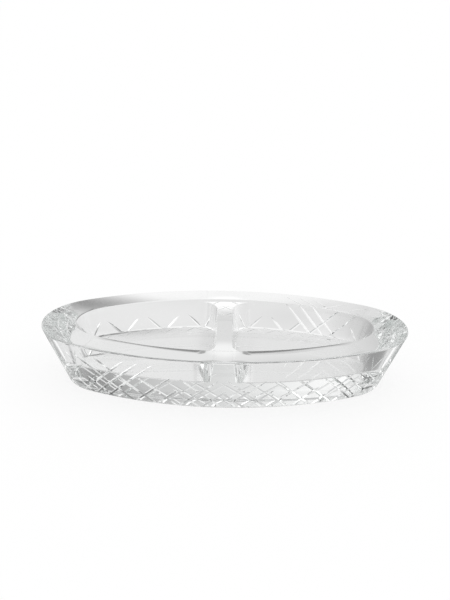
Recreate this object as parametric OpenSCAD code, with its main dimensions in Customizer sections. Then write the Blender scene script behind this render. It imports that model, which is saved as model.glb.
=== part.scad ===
// Two-part relish tray: one piece of clear crystal with a broad flat rim, a sloping wall and a divider,
// and V-shaped wheel cuts that cross into diamonds round the wall.
// The origin is the middle of the foot. Z is up and X runs along the length. Millimetres.

/* [Outside] */
// Length over the rim
tray_length = 280; // [230:1:340]
// Width over the rim
tray_width = 156; // [136:1:190]
// Height from the foot to the rim
tray_height = 44.8; // [38:0.2:60]
// Radius of each rounded end, at the rim
end_radius = 56.5; // [48:0.5:62]
// How far the wall leans in between the rim and the foot
wall_lean = 21; // [12:0.5:26]
// Rounding of the edge of the foot
foot_round = 3; // [1:0.25:5]
// Small bevel on both edges of the rim
rim_bevel = 0.6; // [0.3:0.1:1.2]

/* [Compartments] */
// Width of the flat rim at the middle of a long side
rim_side = 22; // [17:0.5:26]
// Width of the flat rim at an end
rim_end = 26; // [22:0.5:34]
// Radius of the tip of a compartment, at the rim
tip_radius = 35; // [22:0.5:42]
// Thickness of glass under the compartments
floor_thick = 23.5; // [14:0.5:28]
// How far the outer wall of a compartment leans in between the rim and the floor
wall_draft = 7; // [3:0.2:9]
// Rounding where a compartment wall meets the floor
floor_round = 2; // [1:0.25:5]
// Thickness of the divider at the level of the rim
divider_thick = 12.5; // [8:0.5:20]
// How far each side of the divider leans between the rim and the floor
divider_draft = 2.5; // [1:0.1:4]
// How far the top of the divider lies below the rim
divider_drop = 2; // [1:0.25:8]
// Radius of the compartment corners beside the divider
corner_radius = 14; // [13:0.5:18]

/* [Cuts] */
// Number of cuts that lean each way
cut_count = 36; // [28:4:44]
// Angle of a cut up from level
cut_angle = 44; // [36:1:50]
// Width of a cut at the surface
cut_width = 1.9; // [1.4:0.1:2.6]
// Depth of a cut
cut_depth = 0.65; // [0.4:0.05:1]
// Height that every second cut reaches
cut_low = 18; // [12:0.5:21]
// Height that the cuts between them reach, as a row of open Vs
cut_middle = 27.5; // [22:0.5:32]
// Height that the tall cuts reach
cut_high = 39; // [33:0.5:41]

/* [Tall cuts] */
// Place of the middle one of the tall cuts that lean right, counted in cuts from an end
right_place = 3; // [2:1:6]
// Number of tall cuts that lean right
right_count = 3; // [1:2:5]
// Spacing of the tall cuts that lean right
right_spacing = 10.7; // [8:0.1:16]
// Place of the first of the tall cuts that lean left, counted in cuts from an end
left_place = 12; // [10:1:13]
// Number of tall cuts that lean left
left_count = 2; // [1:1:4]

/* [View] */
// Sub-part to draw

/* [Hidden] */
// Half sizes of the rim and of its opening
half_l = tray_length / 2;
half_w = tray_width / 2;
open_l = half_l - rim_end;
open_w = half_w - rim_side;
// The outer wall's top, under the bevel, and its lean from upright
wall_top = tray_height - rim_bevel;
lean = atan2(wall_lean, wall_top);
// Depth of a compartment and the lean of its wall
deep = tray_height - floor_thick;
draft = atan2(wall_draft, deep);
// How far the cutting shapes pass the surfaces that they cut
over = 3;

// A four-arc oval of half sizes a and b with end radius r.
// It is [radius of the long arcs, distance of their centres, distance of the end centres, join angle]
function oval(a, b, r) =
    let (
        x = a - r,
        long_r = (x * x + b * b - r * r) / (2 * (b - r)),
        c = long_r - b
    )
    [long_r, c, x, atan2(c, x)];

rim = oval(half_l, half_w, end_radius);
mouth = oval(open_l, open_w, tip_radius);

// Points of an arc as [centre x, centre y, radius, angle], without the first one
function arc(x, y, r, from, to, steps) =
    [for (i = [1:steps]) [x, y, r, from + (to - from) * i / steps]];

// The rim's outline, anticlockwise from the +X end
rim_path = concat(
    arc(rim[2], 0, end_radius, -rim[3], rim[3], 24),
    arc(0, -rim[1], rim[0], rim[3], 180 - rim[3], 32),
    arc(-rim[2], 0, end_radius, 180 - rim[3], 180 + rim[3], 24),
    arc(0, rim[1], rim[0], 180 + rim[3], 360 - rim[3], 32)
);

// The compartment on the +X side, moved in by inset. The divider's side moves in less, and the corners
// beside it touch the divider and the long arcs
corner_x = divider_thick / 2 + corner_radius;
function corner_r(inset) = corner_radius - inset * divider_draft / wall_draft;
function corner_y(inset) =
    sqrt(pow(mouth[0] - inset - corner_r(inset), 2) - corner_x * corner_x) - mouth[1];
function corner_a(inset) = atan2(corner_y(inset) + mouth[1], corner_x);
function hollow_path(inset) =
    let (
        r = corner_r(inset),
        y = corner_y(inset),
        a = corner_a(inset)
    )
    concat(
        arc(mouth[2], 0, tip_radius - inset, -mouth[3], mouth[3], 20),
        arc(0, -mouth[1], mouth[0] - inset, mouth[3], a, 16),
        arc(corner_x, y, r, a, 180, 12),
        [[corner_x, -y, r, 180]],
        arc(corner_x, -y, r, 180, 360 - a, 12),
        arc(0, mouth[1], mouth[0] - inset, 360 - a, 360 - mouth[3], 16)
    );

// The gap over the divider, which carries the opening's oval edge across it
saddle_a = corner_a(0) - 4;
saddle_path = concat(
    arc(0, -mouth[1], mouth[0], saddle_a, 180 - saddle_a, 16),
    arc(0, mouth[1], mouth[0], 180 + saddle_a, 360 - saddle_a, 16)
);

// An outline moved in by inset, at height z
function ring(path, inset, z) =
    [for (p = path) [p[0] + (p[2] - inset) * cos(p[3]), p[1] + (p[2] - inset) * sin(p[3]), z]];

// Insets and heights of a rounded lower edge, for a wall that leans by angle a and would
// meet level z at inset foot
function rounding(foot, z, r, a, steps) =
    [for (i = [0:steps])
        let (turn = (90 - a) * i / steps)
        [foot - r * (tan(a) - 1 / cos(a)) - r * sin(turn), z + r * (1 - cos(turn))]];

// A closed solid through a list of rings with the same number of points, from the bottom up
module loft(rings) {
    n = len(rings[0]);
    last = len(rings) - 1;
    polyhedron(
        points = [for (r = rings) each r],
        faces = [
            [for (i = [0:n - 1]) i],
            for (k = [0:last - 1], i = [0:n - 1])
                [k * n + i, (k + 1) * n + i, (k + 1) * n + (i + 1) % n, k * n + (i + 1) % n],
            [for (i = [n - 1:-1:0]) last * n + i]
        ]
    );
}

// The plain solid: foot, sloping wall and rim
module blank() {
    profile = concat(
        rounding(wall_lean, 0, foot_round, lean, 3),
        [[0, wall_top], [rim_bevel, tray_height]]
    );
    loft([for (p = profile) ring(rim_path, p[0], p[1])]);
}

// Insets and heights of the upper part of a compartment wall
function mouth_profile() = [
    [rim_bevel * tan(draft), tray_height - rim_bevel],
    [-rim_bevel, tray_height],
    [-rim_bevel - over, tray_height + over]
];

module hollow() {
    profile = concat(rounding(wall_draft, floor_thick, floor_round, draft, 4), mouth_profile());
    loft([for (p = profile) ring(hollow_path(p[0]), 0, p[1])]);
}

module saddle() {
    profile = concat([[divider_drop * tan(draft), tray_height - divider_drop]], mouth_profile());
    loft([for (p = profile) ring(saddle_path, p[0], p[1])]);
}

// Lengths of a quarter end arc and of half a long arc, at the height where the cuts are spaced
cut_level = cut_middle / 2;
cut_inset = wall_lean * (1 - cut_level / wall_top);
end_run = (end_radius - cut_inset) * rim[3] * PI / 180;
long_run = (rim[0] - cut_inset) * (90 - rim[3]) * PI / 180;
round_run = 4 * (end_run + long_run);
cut_gap = round_run / cut_count;

// The arc at a distance s round the wall from the +X end, as [centre x, centre y, radius, angle]
function arc_at(s) =
    let (
        p = s - round_run * floor(s / round_run),
        half = round_run / 2,
        q = p < half ? p : p - half,
        turn = p < half ? 0 : 180,
        flip = p < half ? 1 : -1,
        end_r = end_radius - cut_inset,
        long_r = rim[0] - cut_inset
    )
    q < end_run ? [flip * rim[2], 0, end_radius, turn + q / end_r * 180 / PI]
    : q < end_run + 2 * long_run
        ? [0, -flip * rim[1], rim[0], turn + rim[3] + (q - end_run) / long_r * 180 / PI]
        : [-flip * rim[2], 0, end_radius, turn + 180 - (half - q) / end_r * 180 / PI];

// The point at distance s and height z on the wall, moved out by lift
function on_wall(s, z, lift) =
    let (
        p = arc_at(s),
        r = p[2] - wall_lean * (1 - z / wall_top) + lift * cos(lean)
    )
    [p[0] + r * cos(p[3]), p[1] + r * sin(p[3]), z - lift * sin(lean)];

// One V cut that meets the foot's level at distance s and rises to height reach
module cut(s, reach) {
    start = -over;
    rise = cos(lean) * tan(cut_angle);
    steps = ceil((reach - start) / 6);
    half = cut_width / 2 * (1 + over / cut_depth);
    loft([
        for (i = [0:steps])
            let (
                z = start + (reach - start) * i / steps,
                at = s + z / rise,
                lift = i < steps ? 0 : cut_depth * 1.2,
                dz = half * cos(cut_angle) * cos(lean),
                ds = half * sin(cut_angle)
            )
            [
                on_wall(at, z, lift - cut_depth),
                on_wall(at - ds, z + dz, over + lift),
                on_wall(at + ds, z - dz, over + lift)
            ]
    ]);
}

// The tall cuts, as [place, distance round the wall at the foot's level]. Places count from an end
side_count = (right_count - 1) / 2;
right_tall = [
    for (k = [-side_count:side_count])
        [right_place + k, right_place * cut_gap + k * right_spacing]
];
left_tall = [for (k = [left_place:left_place + left_count - 1]) [k, k * cut_gap]];

// All the cuts that lean one way. What stands on one half of the wall comes again on the other
module cuts(tall) {
    for (half = [0, 1], k = [0:cut_count / 2 - 1]) {
        turn = half * round_run / 2;
        found = [for (t = tall) if (t[0] == k) t[1]];
        if (len(found) > 0)
            cut(turn + found[0], cut_high);
        else
            cut(turn + k * cut_gap, k % 2 == 0 ? cut_low : cut_middle);
    }
}

module tray() {
    color("lightblue")
        difference() {
            blank();
            hollow();
            mirror([1, 0, 0])
                hollow();
            saddle();
            cuts(right_tall);
            mirror([0, 1, 0])
                cuts(left_tall);
        }
}

tray();
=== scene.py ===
import bpy
import math
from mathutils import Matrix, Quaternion, Vector


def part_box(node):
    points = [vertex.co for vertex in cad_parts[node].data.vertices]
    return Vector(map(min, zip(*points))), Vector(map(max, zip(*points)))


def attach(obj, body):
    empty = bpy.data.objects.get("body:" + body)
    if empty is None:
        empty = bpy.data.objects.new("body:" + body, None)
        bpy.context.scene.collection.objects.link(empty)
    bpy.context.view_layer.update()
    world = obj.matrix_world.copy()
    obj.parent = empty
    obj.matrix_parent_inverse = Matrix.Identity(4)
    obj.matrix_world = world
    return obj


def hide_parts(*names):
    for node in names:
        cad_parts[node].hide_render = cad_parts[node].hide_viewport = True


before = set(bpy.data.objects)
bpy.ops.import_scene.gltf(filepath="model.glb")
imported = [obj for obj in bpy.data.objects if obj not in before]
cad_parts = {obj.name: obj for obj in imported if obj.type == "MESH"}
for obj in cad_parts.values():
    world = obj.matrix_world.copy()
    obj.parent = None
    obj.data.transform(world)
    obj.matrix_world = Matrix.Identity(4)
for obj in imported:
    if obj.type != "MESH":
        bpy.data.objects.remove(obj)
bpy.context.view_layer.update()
low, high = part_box("tray")

# sizes of the tray in metres, the outside ones from the frame
traySizes = {
    "halfLength": (high.x - low.x) / 2,
    "halfWidth": (high.y - low.y) / 2,
    "height": high.z,
    "endRadius": 0.0565,
    "wallLean": 0.021,                # how far the wall leans in, rim to foot
    "wallTop": 0.0442,                # height at which the wall's slope reaches the full width
    "footRound": 0.003,
    "rimRound": 0.0012,               # rounding of the rim's outer edge
    "rimSide": 0.022,                 # flat rim, middle of a long side
    "rimEnd": 0.026,                  # flat rim, at an end
    "lipRound": 0.0010,               # rounding of the edge of the opening
    "lipTurn": math.radians(84),      # how far round it goes before it runs out on the rim
    "tipRadius": 0.035,
    "cornerRadius": 0.014,
    "floorThick": 0.0235,
    "floorRound": 0.002,
    "wallDraft": 0.007,               # how far a compartment's outer wall leans in
    "dividerDraft": 0.0025,           # and its wall at the divider
    "dividerThick": 0.0125,
    "dividerDrop": 0.002,
    "dividerRound": 0.0009,           # rounding of the divider's top edges
    "dividerEnds": 0.0035,            # which stops this far short of the opening's edge
    "overCut": 0.003,                 # how far a cutter stands past the surface
    "seamWeld": 2e-5,                 # closes the sweep where it meets itself
    "lastWeld": 2e-6,
    "sharpAngle": math.radians(28),
}
# how finely each curve is divided
traySteps = {
    "foot": 6,
    "wall": 16,
    "rimEdge": 8,
    "end": 40,                        # half an end of the rim
    "side": 120,
    "floorEdge": 8,
    "lip": 8,
    "tip": 30,                        # half a compartment's tip
    "hollowSide": 60,
    "corner": 20,
    "saddle": 24,
    "dividerEdge": 4,
}
startSize = 0.01                      # of a primitive whose points are placed next

wallTop = traySizes["wallTop"]
lean = math.atan2(traySizes["wallLean"], wallTop)
draft = math.atan2(traySizes["wallDraft"], traySizes["height"] - traySizes["floorThick"])


def fourArcs(halfLength, halfWidth, endRadius):
    endX = halfLength - endRadius
    longRadius = (endX ** 2 + halfWidth ** 2 - endRadius ** 2) / (2 * (halfWidth - endRadius))
    longY = longRadius - halfWidth
    return {"endX": endX, "endRadius": endRadius, "longRadius": longRadius,
            "longY": longY, "joint": math.atan2(longY, endX)}


def spread(start, end, steps):
    # even steps from start to end
    return [start + (end - start) * i / steps for i in range(steps + 1)]


def roundedFoot(inset, z, radius, slope, steps):
    # profile points of a rounded lower edge, as inset and height
    flat = inset - radius * (math.tan(slope) - 1 / math.cos(slope))
    turns = spread(0, math.pi / 2 - slope, steps)
    return [(flat - radius * math.sin(t), z + radius * (1 - math.cos(t))) for t in turns]


def roundedEdge(radius):
    # profile of the rim's outer edge, from the sloping wall over to the flat top
    middleZ = traySizes["height"] - radius
    startZ = middleZ - radius * math.sin(lean)
    middle = traySizes["wallLean"] * (1 - startZ / wallTop) + radius * math.cos(lean)
    turns = spread(-lean, math.pi / 2, traySteps["rimEdge"])
    return [(middle - radius * math.cos(t), middleZ + radius * math.sin(t)) for t in turns]


rim = fourArcs(traySizes["halfLength"], traySizes["halfWidth"], traySizes["endRadius"])
mouth = fourArcs(traySizes["halfLength"] - traySizes["rimEnd"],
                 traySizes["halfWidth"] - traySizes["rimSide"], traySizes["tipRadius"])

# the rim's rounding takes a little off its width, so the wall stands out by that much
rimArc = roundedEdge(traySizes["rimRound"])
wallOut = min(inset for inset, z in rimArc)


def pickOnly(piece):
    bpy.ops.object.select_all(action="DESELECT")
    piece.select_set(True)
    bpy.context.view_layer.objects.active = piece


def faceOut(piece):
    pickOnly(piece)
    bpy.ops.object.mode_set(mode="EDIT")
    bpy.ops.mesh.select_all(action="SELECT")
    bpy.ops.mesh.normals_make_consistent(inside=False)
    bpy.ops.object.mode_set(mode="OBJECT")


def drawProfile(name, startX, profile):
    # one edge strip in the XZ plane, drawn point by point and left in edit mode
    bpy.ops.object.select_all(action="DESELECT")
    bpy.ops.mesh.primitive_plane_add(size=startSize, location=(0, 0, 0))
    piece = bpy.context.object
    piece.name = piece.data.name = name
    points = [Vector((startX - inset, 0, z)) for inset, z in profile]
    bpy.ops.object.mode_set(mode="EDIT")
    bpy.ops.mesh.select_all(action="SELECT")
    bpy.ops.mesh.merge(type="CENTER")
    bpy.ops.transform.translate(value=points[0])
    for here, there in zip(points, points[1:]):
        bpy.ops.mesh.extrude_region_move(TRANSFORM_OT_translate={"value": there - here})
    bpy.ops.mesh.select_all(action="SELECT")
    return piece


def makeBlank():
    # the plain solid: foot, sloping wall and rim
    s, steps = traySizes, traySteps
    foot = roundedFoot(s["wallLean"], 0, s["footRound"], lean, steps["foot"])
    (footInset, footZ), (edgeInset, edgeZ) = foot[-1], rimArc[0]
    wall = zip(spread(footInset, edgeInset, steps["wall"])[1:-1],
               spread(footZ, edgeZ, steps["wall"])[1:-1])
    profile = [(inset - wallOut, z) for inset, z in foot + list(wall) + rimArc]
    blank = drawProfile("crystalTray", s["halfLength"], profile)
    endX, longY = rim["endX"], rim["longY"]
    endTurn, longTurn = rim["joint"], math.pi - 2 * rim["joint"]
    for x, y, turn, count in [(endX, 0, endTurn, steps["end"]),
                              (0, -longY, longTurn, steps["side"]),
                              (-endX, 0, 2 * endTurn, 2 * steps["end"]),
                              (0, longY, longTurn, steps["side"]),
                              (endX, 0, endTurn, steps["end"])]:
        bpy.ops.mesh.spin(steps=count, angle=-turn, center=(x, y, 0), axis=(0, 0, 1))
    bpy.ops.mesh.select_all(action="SELECT")
    bpy.ops.mesh.remove_doubles(threshold=s["seamWeld"])
    bpy.ops.mesh.fill_holes(sides=0)
    bpy.ops.object.mode_set(mode="OBJECT")
    faceOut(blank)
    print("blank:", len(blank.data.polygons), "faces")
    return blank


def stackRings(name, rings):
    # a disc extruded ring by ring, with each ring put in its place
    bpy.ops.object.select_all(action="DESELECT")
    bpy.ops.mesh.primitive_circle_add(vertices=len(rings[0]), radius=startSize, fill_type="NGON")
    piece = bpy.context.object
    piece.name = piece.data.name = name
    for i, ring in enumerate(rings):
        if i:
            bpy.ops.object.mode_set(mode="EDIT")
            bpy.ops.mesh.extrude_region_move(TRANSFORM_OT_translate={"value": (0, 0, startSize)})
            bpy.ops.object.mode_set(mode="OBJECT")
        for v, spot in zip([v for v in piece.data.vertices if v.select], ring):
            v.co = spot
    return piece


def hollowArcs(inset):
    # the compartment on the +X side as arcs: centre x, centre y, radius, from, to, steps
    s, steps = traySizes, traySteps
    corner = s["cornerRadius"] - inset * s["dividerDraft"] / s["wallDraft"]
    cornerX = s["dividerThick"] / 2 + s["cornerRadius"]
    longRadius = mouth["longRadius"] - inset
    rise = math.sqrt((longRadius - corner) ** 2 - cornerX ** 2)
    turn = math.atan2(rise, cornerX)
    return [(mouth["endX"], 0, s["tipRadius"] - inset, 0, mouth["joint"], steps["tip"]),
            (0, -mouth["longY"], longRadius, mouth["joint"], turn, steps["hollowSide"]),
            (cornerX, rise - mouth["longY"], corner, turn, math.pi, steps["corner"])]


def hollowRing(inset, z):
    half = []
    for x, y, radius, start, end, steps in hollowArcs(inset):
        turns = spread(start, end, steps)[:-1]
        half += [Vector((x + radius * math.cos(t), y + radius * math.sin(t), z)) for t in turns]
    half.append(Vector((x - radius, y, z)))
    return half + [Vector((p.x, -p.y, z)) for p in reversed(half[1:])]


def mouthProfile():
    # upper part of a compartment wall: a rounded lip, then on past the rim
    s = traySizes
    radius, top, over = s["lipRound"], s["height"], s["overCut"]
    middle = math.tan(draft) * radius * (1 - math.sin(draft)) - radius * math.cos(draft)
    turns = spread(draft, s["lipTurn"], traySteps["lip"])
    lip = [(middle + radius * math.cos(t), top - radius + radius * math.sin(t)) for t in turns]
    runOut = (middle - radius * 0.2, top + radius * 0.1)    # a gentle first step past the rim
    return lip + [runOut, (middle - over, top + over)]


def makeHollow():
    # cutter for the compartment on the +X side
    s = traySizes
    profile = roundedFoot(s["wallDraft"], s["floorThick"], s["floorRound"], draft,
                          traySteps["floorEdge"]) + mouthProfile()
    hollow = stackRings("hollow", [hollowRing(inset, z) for inset, z in profile])
    faceOut(hollow)
    return hollow


def turnedCopy(piece):
    # a copy with its own mesh, half a turn round the middle of the tray
    other = piece.copy()
    other.data = piece.data.copy()
    bpy.context.collection.objects.link(other)
    pickOnly(other)
    bpy.ops.object.mode_set(mode="EDIT")
    bpy.ops.mesh.select_all(action="SELECT")
    bpy.ops.transform.rotate(value=math.pi, orient_axis="Z", center_override=(0, 0, 0))
    bpy.ops.object.mode_set(mode="OBJECT")
    return other


def makeSaddle():
    # cutter that drops the divider's top and carries the mouth's edge across it
    s = traySizes
    drop = s["dividerDrop"]
    profile = [(drop * math.tan(draft), s["height"] - drop)] + mouthProfile()
    cornerTurn = hollowArcs(0)[1][4]    # where the long side meets the corner
    reach = mouth["longRadius"] * math.cos(cornerTurn)
    bpy.ops.object.select_all(action="DESELECT")
    bpy.ops.mesh.primitive_grid_add(x_subdivisions=traySteps["saddle"], y_subdivisions=1, size=2)
    saddle = bpy.context.object
    saddle.name = "saddle"
    for v in saddle.data.vertices:
        v.co.x *= reach                 # the grid goes from -1 to 1
    for i, (inset, z) in enumerate(profile):
        if i:
            bpy.ops.object.mode_set(mode="EDIT")
            bpy.ops.mesh.extrude_region_move(TRANSFORM_OT_translate={"value": (0, 0, 0)})
            bpy.ops.object.mode_set(mode="OBJECT")
        radius = mouth["longRadius"] - inset
        for v in saddle.data.vertices:
            if v.select:
                side = math.sqrt(radius ** 2 - v.co.x ** 2) - mouth["longY"]
                v.co.y = math.copysign(side, v.co.y)
                v.co.z = z
    faceOut(saddle)
    return saddle


cutSizes = {
    "count": 36,                      # cuts that lean each way
    "angle": math.radians(44),
    "width": 0.0019,
    "depth": 0.00065,
    "low": 0.018,                     # height of every second cut
    "middle": 0.0275,                 # height of the others, whose tips stand up as a row of Vs
    "high": 0.039,                    # height of the tall ones
    "tallRight": [2, 3, 4],           # places of the tall ones, counted from an end
    "tallLeft": [12, 13],
    "crowd": 0.0107,                  # spacing of the tall ones that lean right
    "runOut": 0.005,                  # height over which the wheel leaves the glass
    "endLift": 1.2,                   # how far it lifts there, in depths
    "step": 0.0025,
}
cutInset = traySizes["wallLean"] * (1 - cutSizes["middle"] / 2 / wallTop)
endRun = (rim["endRadius"] - cutInset) * rim["joint"]
longRun = (rim["longRadius"] - cutInset) * (math.pi / 2 - rim["joint"])
wholeRun = 4 * (endRun + longRun)
cutPitch = wholeRun / cutSizes["count"]


def onWall(run, z, lift):
    # point at a distance round the wall from the +X end, at height z, lifted off the surface
    run = run % wholeRun
    flip = 1 if run < wholeRun / 2 else -1
    run = run % (wholeRun / 2)
    if run < endRun:
        centre, radius = (rim["endX"], 0), rim["endRadius"]
        turn = run / (radius - cutInset)
    elif run < endRun + 2 * longRun:
        centre, radius = (0, -rim["longY"]), rim["longRadius"]
        turn = rim["joint"] + (run - endRun) / (radius - cutInset)
    else:
        centre, radius = (-rim["endX"], 0), rim["endRadius"]
        turn = math.pi - (wholeRun / 2 - run) / (radius - cutInset)
    out = radius + wallOut - traySizes["wallLean"] * (1 - z / wallTop) + lift * math.cos(lean)
    return Vector((flip * (centre[0] + out * math.cos(turn)),
                   flip * (centre[1] + out * math.sin(turn)), z - lift * math.sin(lean)))


def makeCut(run, reach):
    # a three-sided bar, extruded step by step and wrapped on the wall
    c = cutSizes
    over = traySizes["overCut"]
    start = -over
    steps = math.ceil((reach - start) / c["step"])
    rise = math.cos(lean) * math.tan(c["angle"])
    half = c["width"] / 2 * (1 + over / c["depth"])
    across = half * math.sin(c["angle"])
    down = half * math.cos(c["angle"]) * math.cos(lean)
    rings = []
    for i, z in enumerate(spread(start, reach, steps)):
        at = run + z / rise
        left = (steps - i) / steps * (reach - start)
        lift = c["depth"] * c["endLift"] * max(0, 1 - left / c["runOut"]) ** 2
        rings.append([onWall(at, z, lift - c["depth"]),
                      onWall(at - across, z + down, lift + over),
                      onWall(at + across, z - down, lift + over)])
    return stackRings("cut", rings)


def makeCutSet(name, tall, spacing, mirrored):
    # cuts all round that lean one way, with the tall ones again on the far side
    c = cutSizes
    middle = tall[len(tall) // 2]
    bars = []
    for i in range(c["count"]):
        place = i % (c["count"] // 2)
        if place in tall:
            run = (i - place + middle) * cutPitch + (place - middle) * spacing
            bars.append(makeCut(run, c["high"]))
        else:
            bars.append(makeCut(i * cutPitch, c["middle"] if i % 2 else c["low"]))
    bpy.ops.object.select_all(action="DESELECT")
    for bar in bars:
        bar.select_set(True)
    bpy.context.view_layer.objects.active = bars[0]
    bpy.ops.object.join()
    cutSet = bpy.context.object
    cutSet.name = name
    if mirrored:
        for v in cutSet.data.vertices:
            v.co.y = -v.co.y
    faceOut(cutSet)
    return cutSet


def cutAway(piece, cutter):
    pickOnly(piece)
    away = piece.modifiers.new("cutAway", "BOOLEAN")
    away.operation = "DIFFERENCE"
    away.solver = "MANIFOLD"
    away.object = cutter
    bpy.ops.object.modifier_apply(modifier=away.name)
    bpy.data.objects.remove(cutter)


def startPicking(piece, kind):
    # nothing selected, ready to pick faces or edges by their place
    pickOnly(piece)
    bpy.ops.object.mode_set(mode="EDIT")
    bpy.ops.mesh.select_mode(type=kind)
    bpy.ops.mesh.select_all(action="DESELECT")
    bpy.ops.object.mode_set(mode="OBJECT")


def roundDivider(piece):
    # the lowered top becomes one face, then its two long edges are rounded
    s = traySizes
    level = s["height"] - s["dividerDrop"]
    endY = s["halfWidth"] - s["rimSide"] - s["dividerEnds"]
    near = 1e-6    # allowed for rounding of the numbers
    startPicking(piece, "FACE")
    spots = piece.data.vertices
    for face in piece.data.polygons:
        face.select = all(abs(spots[i].co.z - level) < near for i in face.vertices)
    bpy.ops.object.mode_set(mode="EDIT")
    bpy.ops.mesh.dissolve_faces()
    bpy.ops.object.mode_set(mode="OBJECT")
    startPicking(piece, "EDGE")
    spots = piece.data.vertices
    for edge in piece.data.edges:
        ends = [spots[i].co for i in edge.vertices]
        edge.select = all(abs(p.z - level) < near and abs(p.y) < endY for p in ends)
    bpy.ops.object.mode_set(mode="EDIT")
    bpy.ops.mesh.bevel(offset=s["dividerRound"], segments=traySteps["dividerEdge"],
                       clamp_overlap=False)
    bpy.ops.mesh.select_mode(type="VERT")
    bpy.ops.object.mode_set(mode="OBJECT")


def finishMesh(piece):
    pickOnly(piece)
    bpy.ops.object.mode_set(mode="EDIT")
    bpy.ops.mesh.select_all(action="SELECT")
    bpy.ops.mesh.remove_doubles(threshold=traySizes["lastWeld"])
    bpy.ops.mesh.normals_make_consistent(inside=False)
    bpy.ops.object.mode_set(mode="OBJECT")
    bpy.ops.object.shade_smooth_by_angle(angle=traySizes["sharpAngle"])
    even = piece.modifiers.new("evenNormals", "WEIGHTED_NORMAL")
    even.keep_sharp = True
    bpy.ops.object.modifier_apply(modifier=even.name)


tray = makeBlank()
hollow = makeHollow()
for cutter in [hollow, turnedCopy(hollow), makeSaddle()]:
    cutAway(tray, cutter)
roundDivider(tray)
print("hollows cut:", len(tray.data.polygons), "faces")
cutAway(tray, makeCutSet("cutsRight", cutSizes["tallRight"], cutSizes["crowd"], False))
cutAway(tray, makeCutSet("cutsLeft", cutSizes["tallLeft"], cutPitch, True))
finishMesh(tray)
print("wall cuts done:", len(tray.data.polygons), "faces")

crystalLook = {
    "tint": (1, 1, 1, 1),
    "ior": 1.55,
    "roughness": 0.0,
    "waveScale": 55,                  # soft unevenness of the fire-polished surface
    "waveHeight": 0.00001,
    "absorbColor": (0.79, 0.84, 0.82, 1),
    "absorbDensity": 1.5,
}


def makeCrystal():
    c = crystalLook
    mat = bpy.data.materials.new("clearCrystal")
    mat.use_nodes = True
    nodes, links = mat.node_tree.nodes, mat.node_tree.links
    shader = nodes["Principled BSDF"]
    shader.inputs["Base Color"].default_value = c["tint"]
    shader.inputs["Roughness"].default_value = c["roughness"]
    shader.inputs["IOR"].default_value = c["ior"]
    shader.inputs["Transmission Weight"].default_value = 1
    place = nodes.new("ShaderNodeTexCoord")
    waves = nodes.new("ShaderNodeTexNoise")
    waves.inputs["Scale"].default_value = c["waveScale"]
    waves.inputs["Detail"].default_value = 1
    bump = nodes.new("ShaderNodeBump")
    bump.inputs["Strength"].default_value = 1
    bump.inputs["Distance"].default_value = c["waveHeight"]
    links.new(place.outputs["Object"], waves.inputs["Vector"])
    links.new(waves.outputs["Fac"], bump.inputs["Height"])
    links.new(bump.outputs["Normal"], shader.inputs["Normal"])
    absorb = nodes.new("ShaderNodeVolumeAbsorption")
    absorb.inputs["Color"].default_value = c["absorbColor"]
    absorb.inputs["Density"].default_value = c["absorbDensity"]
    links.new(absorb.outputs["Volume"], nodes["Material Output"].inputs["Volume"])
    return mat


tray.data.materials.clear()
tray.data.materials.append(makeCrystal())
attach(tray, "root")
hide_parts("tray")
print("crystal on, tray rides on root")

studio = {
    "floorSize": 14,
    "floorDrop": 0.0002,              # a hair under the foot
    "floorColor": (0.15, 0.15, 0.15, 1),
    "floorLift": 0.85,                # brings the lit floor up to white
    "floorGrey": 0.80,                # how the paper looks through the glass
    "skyGrey": 0.61,                  # and the sky
    "bounces": 40,                    # light has to cross the glass many times
    "glassBounces": 32,
}
# soft patches that the glass shows: middle, reach and how dark, less than 0 for bright ones
paintedFloorPatches = [
    # painted shadow of the tray at the back left, and painted shade over the right side
    {"at": (-0.124, 0.060, 0), "reach": (0.106, 0.028, 1), "core": 0, "dark": 0.88},
    {"at": (0.196, 0.02, 0), "reach": (0.113, 0.25, 1), "core": 0.2, "dark": 0.63},
    # painted shade under the divider, painted light at both its ends, and painted shade under the
    # front
    {"at": (0, 0.03, 0), "reach": (0.03, 0.05, 1), "core": 0.3, "dark": 0.12},
    {"at": (0, -0.018, 0), "reach": (0.018, 0.022, 1), "core": 0.4, "dark": -0.24},
    {"at": (0, 0.073, 0), "reach": (0.022, 0.014, 1), "core": 0.4, "dark": -0.26},
    {"at": (0.06, -0.045, 0), "reach": (0.07, 0.022, 1), "core": 0, "dark": 0.18},
    # painted shade under the corners beside the divider, at the front
    {"at": (-0.009, -0.0465, 0), "reach": (0.013, 0.008, 1), "core": 0.3, "dark": 0.60},
    {"at": (0.011, -0.0465, 0), "reach": (0.013, 0.008, 1), "core": 0.3, "dark": 0.60},
    # painted light thrown on the paper behind the tray, and a spot of painted shade in it
    {"at": (0, 0.09, 0), "reach": (0.17, 0.028, 1), "core": 0.3, "dark": -0.22},
    {"at": (-0.10, 0.15, 0), "reach": (0.13, 0.09, 1), "core": 0.2, "dark": -0.09},
    {"at": (0.10, 0.16, 0), "reach": (0.08, 0.06, 1), "core": 0.2, "dark": 0.09},
]
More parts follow.
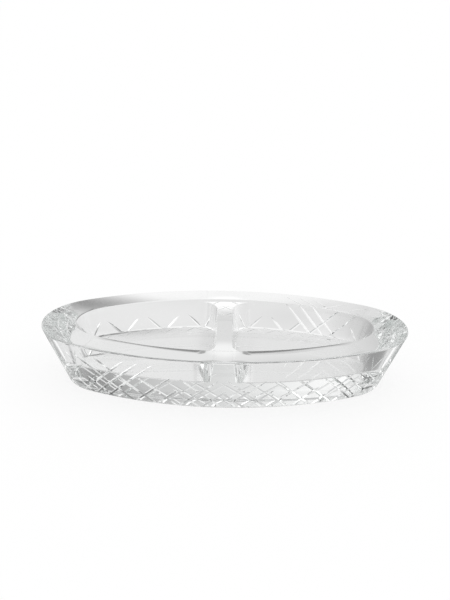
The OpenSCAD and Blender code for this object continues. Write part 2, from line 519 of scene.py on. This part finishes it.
# the same for the sky, by direction
skyPatches = [
    # bright low band all round, then the window
    {"at": (0, 0, 0), "reach": (9, 9, 0.15), "core": 0.6, "dark": -0.70},
    {"at": (-0.42, 0.75, 0.30), "reach": (0.69, 0.90, 0.50), "core": 0.2, "dark": -0.66},
    # dark card at the back right, and the dark right side
    {"at": (0.54, 0.88, 0.32), "reach": (0.55, 0.50, 0.25), "core": 0.2, "dark": 0.46},
    {"at": (0.50, -0.30, 0.10), "reach": (0.90, 0.90, 0.90), "core": 0.5, "dark": 0.75},
    # second window at the front left, with a small dark card in it and one low under it
    {"at": (-0.80, -0.50, 0.50), "reach": (0.60, 0.60, 0.50), "core": 0.6, "dark": -1.2},
    {"at": (-0.80, -0.20, 0.60), "reach": (0.14, 0.14, 0.14), "core": 0.1, "dark": 0.95},
    {"at": (-0.86, -0.42, 0.25), "reach": (0.30, 0.38, 0.16), "core": 0.6, "dark": 0.96},
    # dark ceiling
    {"at": (0, 0, 1), "reach": (0.35, 0.35, 0.15), "core": 0.5, "dark": 0.60},
]
# painted shadow: the dark line where the foot meets the paper, at the front
paintedFootShadow = {
    "halfLength": 0.119,
    "halfWidth": 0.057,
    "middle": 1.03,                   # of the line, as a share of the half sizes, like the next two
    "core": 0.10,
    "reach": 0.145,
    "dark": 0.80,
    "fadeFrom": -0.035,               # it fades out towards the back between these two
    "fadeTo": -0.014,
}


def mathNode(tree, operation, first, second=0):
    node = tree.nodes.new("ShaderNodeMath")
    node.operation = operation
    for socket, value in zip(node.inputs, (first, second)):
        if isinstance(value, (int, float)):
            socket.default_value = value
        else:
            tree.links.new(value, socket)
    return node.outputs[0]


def vectorNode(tree, operation, vector, amount=(0, 0, 0)):
    node = tree.nodes.new("ShaderNodeVectorMath")
    node.operation = operation
    node.inputs[1].default_value = amount
    tree.links.new(vector, node.inputs[0])
    return node.outputs


def softEdge(tree, value, fromValue, toValue, fromShade, toShade):
    ramp = tree.nodes.new("ShaderNodeMapRange")
    ramp.interpolation_type = "SMOOTHSTEP"
    ramp.inputs["From Min"].default_value = fromValue
    ramp.inputs["From Max"].default_value = toValue
    ramp.inputs["To Min"].default_value = fromShade
    ramp.inputs["To Max"].default_value = toShade
    tree.links.new(value, ramp.inputs["Value"])
    return ramp.outputs["Result"]


def distance(tree, place, at, reach):
    # distance from a patch's middle, 1 at its reach
    away = vectorNode(tree, "SUBTRACT", place, at)["Vector"]
    share = vectorNode(tree, "DIVIDE", away, reach)["Vector"]
    return vectorNode(tree, "LENGTH", share)["Value"]


def patchShade(tree, place, grey, patches):
    shade = grey
    for patch in patches:
        far = distance(tree, place, patch["at"], patch["reach"])
        part = softEdge(tree, far, patch["core"], 1, 1 - patch["dark"], 1)
        shade = mathNode(tree, "MULTIPLY", part, shade)
    return shade


def paperShade(tree):
    # the paper as the glass shows it: the painted shade and painted light patches, and the painted
    # shadow line at the foot
    f = paintedFootShadow
    place = tree.nodes.new("ShaderNodeTexCoord").outputs["Object"]
    shade = patchShade(tree, place, studio["floorGrey"], paintedFloorPatches)
    ring = distance(tree, place, (0, 0, 0), (f["halfLength"], f["halfWidth"], 1))
    off = mathNode(tree, "ABSOLUTE", mathNode(tree, "SUBTRACT", ring, f["middle"]))
    line = softEdge(tree, off, f["core"], f["reach"], f["dark"], 0)
    axes = tree.nodes.new("ShaderNodeSeparateXYZ")
    tree.links.new(place, axes.inputs[0])
    front = softEdge(tree, axes.outputs["Y"], f["fadeFrom"], f["fadeTo"], 1, 0)
    line = mathNode(tree, "MULTIPLY", line, front)
    return mathNode(tree, "MULTIPLY", shade, mathNode(tree, "SUBTRACT", 1, line))


def glassRays(tree, path):
    return mathNode(tree, "MAXIMUM", path.outputs["Is Glossy Ray"],
                    path.outputs["Is Transmission Ray"])


def makePaper():
    mat = bpy.data.materials.new("palePaper")
    mat.use_nodes = True
    tree = mat.node_tree
    shader = tree.nodes["Principled BSDF"]
    shader.inputs["Base Color"].default_value = studio["floorColor"]
    shader.inputs["Roughness"].default_value = 1
    shader.inputs["Specular IOR Level"].default_value = 0
    shader.inputs["Emission Color"].default_value = (1, 1, 1, 1)
    path = tree.nodes.new("ShaderNodeLightPath")
    lift = mathNode(tree, "MULTIPLY", path.outputs["Is Camera Ray"], studio["floorLift"])
    tree.links.new(lift, shader.inputs["Emission Strength"])
    # glass rays see the paper as this glow, whose strength holds the painted shade and painted
    # light
    glow = tree.nodes.new("ShaderNodeEmission")
    tree.links.new(paperShade(tree), glow.inputs["Strength"])
    either = tree.nodes.new("ShaderNodeMixShader")
    tree.links.new(glassRays(tree, path), either.inputs["Fac"])
    tree.links.new(shader.outputs[0], either.inputs[1])
    tree.links.new(glow.outputs[0], either.inputs[2])
    tree.links.new(either.outputs[0], tree.nodes["Material Output"].inputs["Surface"])
    return mat


def makeFloor():
    bpy.ops.object.select_all(action="DESELECT")
    bpy.ops.mesh.primitive_plane_add(size=studio["floorSize"],
                                     location=(0, 0, -studio["floorDrop"]))
    floor = bpy.context.object
    floor.name = "floor"
    floor.data.materials.append(makePaper())


def makeSky():
    # plain white light, greyed only where the glass shows it
    world = bpy.data.worlds.new("studio")
    world.use_nodes = True
    bpy.context.scene.world = world
    tree = world.node_tree
    throughGlass = glassRays(tree, tree.nodes.new("ShaderNodeLightPath"))
    place = tree.nodes.new("ShaderNodeTexCoord").outputs["Generated"]
    shade = patchShade(tree, place, studio["skyGrey"], skyPatches)
    darker = mathNode(tree, "MULTIPLY", throughGlass, mathNode(tree, "SUBTRACT", 1, shade))
    sky = tree.nodes["Background"]
    sky.inputs["Color"].default_value = (1, 1, 1, 1)
    tree.links.new(mathNode(tree, "SUBTRACT", 1, darker), sky.inputs["Strength"])


makeFloor()
makeSky()

# camera fitted to the photo's rim, foot and opening
viewpoint = {
    "distance": 0.95,
    "elevation": math.radians(23.103),
    "azimuth": math.radians(0.385),
    "target": Vector((-0.0002, 0, 0.06398)),
    "roll": math.radians(1.087),
    "focalPixels": 1218.4,
    "imageHeight": 600,
    "sensor": 36,                     # width in millimetres
    "nearest": 0.01,
}


def makeCamera():
    v = viewpoint
    cam = bpy.data.objects.new("camera", bpy.data.cameras.new("camera"))
    bpy.context.collection.objects.link(cam)
    level = v["distance"] * math.cos(v["elevation"])
    cam.location = (level * math.sin(v["azimuth"]), -level * math.cos(v["azimuth"]),
                    v["distance"] * math.sin(v["elevation"]))
    aim = (v["target"] - cam.location).to_track_quat("-Z", "Y")
    cam.rotation_mode = "QUATERNION"
    cam.rotation_quaternion = aim @ Quaternion((0, 0, 1), v["roll"])
    cam.data.sensor_width = v["sensor"]
    cam.data.lens = v["focalPixels"] * v["sensor"] / v["imageHeight"]
    cam.data.clip_start = v["nearest"]
    bpy.context.scene.camera = cam


makeCamera()
bpy.context.scene.view_settings.view_transform = "Standard"
light = bpy.context.scene.cycles
light.max_bounces = studio["bounces"]
light.glossy_bounces = light.transmission_bounces = studio["glassBounces"]
print("studio and camera set")
